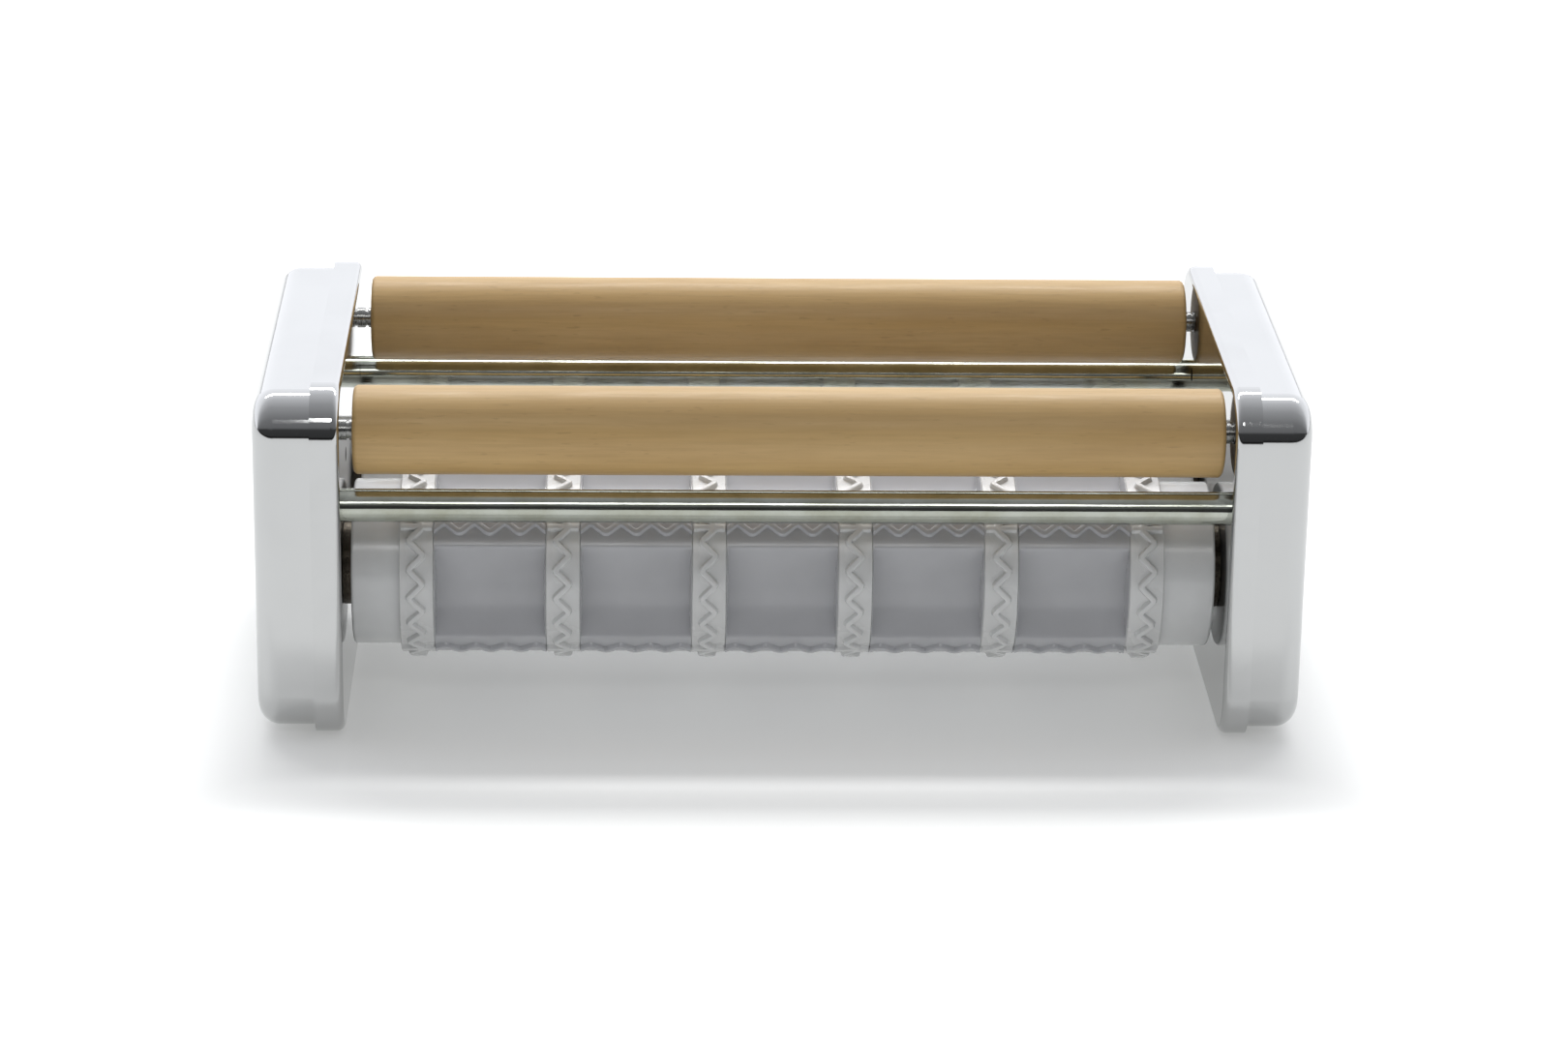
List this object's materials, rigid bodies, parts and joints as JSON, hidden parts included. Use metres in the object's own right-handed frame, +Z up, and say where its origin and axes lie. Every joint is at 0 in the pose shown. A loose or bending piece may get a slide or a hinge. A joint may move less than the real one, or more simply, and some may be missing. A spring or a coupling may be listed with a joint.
{
  "type": "ravioli roller attachment",
  "caption": "Geared pair of plastic pocket rollers between chromed end housings, with wooden guide rollers above; a hand crank turns them to form ravioli from two dough sheets.",
  "frame": {"origin": "centre of the footprint, on the surface that the end housings stand on", "axes": "+X to the right along the rollers, towards the crank side; +Y to the rear; +Z up"},
  "size_m": [0.2138, 0.101, 0.075],
  "materials": {
    "polished_chrome": "mirror polished plating on pressed steel",
    "satin_chrome": "bright plating with a slightly soft reflection",
    "zinc_plated_steel": "bright zinc with a faint yellow-green passivation",
    "bright_steel": "turned",
    "pale_plastic": "moulded, glossy, cool light grey",
    "beech": "turned and sanded, unvarnished",
    "bronze": "sintered"
  },
  "bodies": {
    "frame": {"left_end_pan": "polished_chrome", "right_end_pan": "polished_chrome", "left_cover": "satin_chrome", "right_cover": "satin_chrome", "cover_posts": "zinc_plated_steel", "cover_screws": "bright_steel", "front_cross_bar": "zinc_plated_steel", "rear_cross_bar": "zinc_plated_steel", "front_tie_rod": "zinc_plated_steel", "rear_tie_rod": "zinc_plated_steel", "tie_rod_nuts": "zinc_plated_steel", "front_guide_axle": "bright_steel", "rear_guide_axle": "bright_steel", "axle_nuts": "zinc_plated_steel", "front_left_bush": "bronze", "front_right_bush": "bronze", "rear_left_bush": "bronze", "rear_right_bush": "bronze"},
    "front_forming_roller": {"front_roller_shaft": "bright_steel", "front_gear": "bright_steel", "front_left_end_sleeve": "pale_plastic", "front_right_end_sleeve": "pale_plastic", "front_rib_1": "pale_plastic", "front_rib_2": "pale_plastic", "front_rib_3": "pale_plastic", "front_rib_4": "pale_plastic", "front_rib_5": "pale_plastic", "front_rib_6": "pale_plastic", "front_pocket_drum_1": "pale_plastic", "front_pocket_drum_2": "pale_plastic", "front_pocket_drum_3": "pale_plastic", "front_pocket_drum_4": "pale_plastic", "front_pocket_drum_5": "pale_plastic", "front_shaft_clip": "bright_steel", "crank_socket": "bright_steel", "crank_socket_pin": "bright_steel"},
    "rear_forming_roller": {"rear_roller_shaft": "bright_steel", "rear_gear": "bright_steel", "rear_left_end_sleeve": "pale_plastic", "rear_right_end_sleeve": "pale_plastic", "rear_rib_1": "pale_plastic", "rear_rib_2": "pale_plastic", "rear_rib_3": "pale_plastic", "rear_rib_4": "pale_plastic", "rear_rib_5": "pale_plastic", "rear_rib_6": "pale_plastic", "rear_pocket_drum_1": "pale_plastic", "rear_pocket_drum_2": "pale_plastic", "rear_pocket_drum_3": "pale_plastic", "rear_pocket_drum_4": "pale_plastic", "rear_pocket_drum_5": "pale_plastic", "rear_shaft_clips": "bright_steel"},
    "front_guide": {"front_guide_roller": "beech"},
    "rear_guide": {"rear_guide_roller": "beech"}
  },
  "joints": [
    {"name": "front_roller_turn", "type": "hinge", "parent": "frame", "child": "front_forming_roller", "pos_m": [0, -0.02, 0.029], "axis": [1, 0, 0], "continuous": true},
    {"name": "rear_roller_turn", "type": "hinge", "parent": "frame", "child": "rear_forming_roller", "pos_m": [0, 0.02, 0.029], "axis": [1, 0, 0], "continuous": true},
    {"name": "front_guide_turn", "type": "hinge", "parent": "frame", "child": "front_guide", "pos_m": [0, -0.037, 0.0638], "axis": [1, 0, 0], "continuous": true},
    {"name": "rear_guide_turn", "type": "hinge", "parent": "frame", "child": "rear_guide", "pos_m": [0, 0.037, 0.0638], "axis": [1, 0, 0], "continuous": true}
  ],
  "couplings": [
    {"joint": "rear_roller_turn", "follows": "front_roller_turn", "ratio": -1}
  ]
}
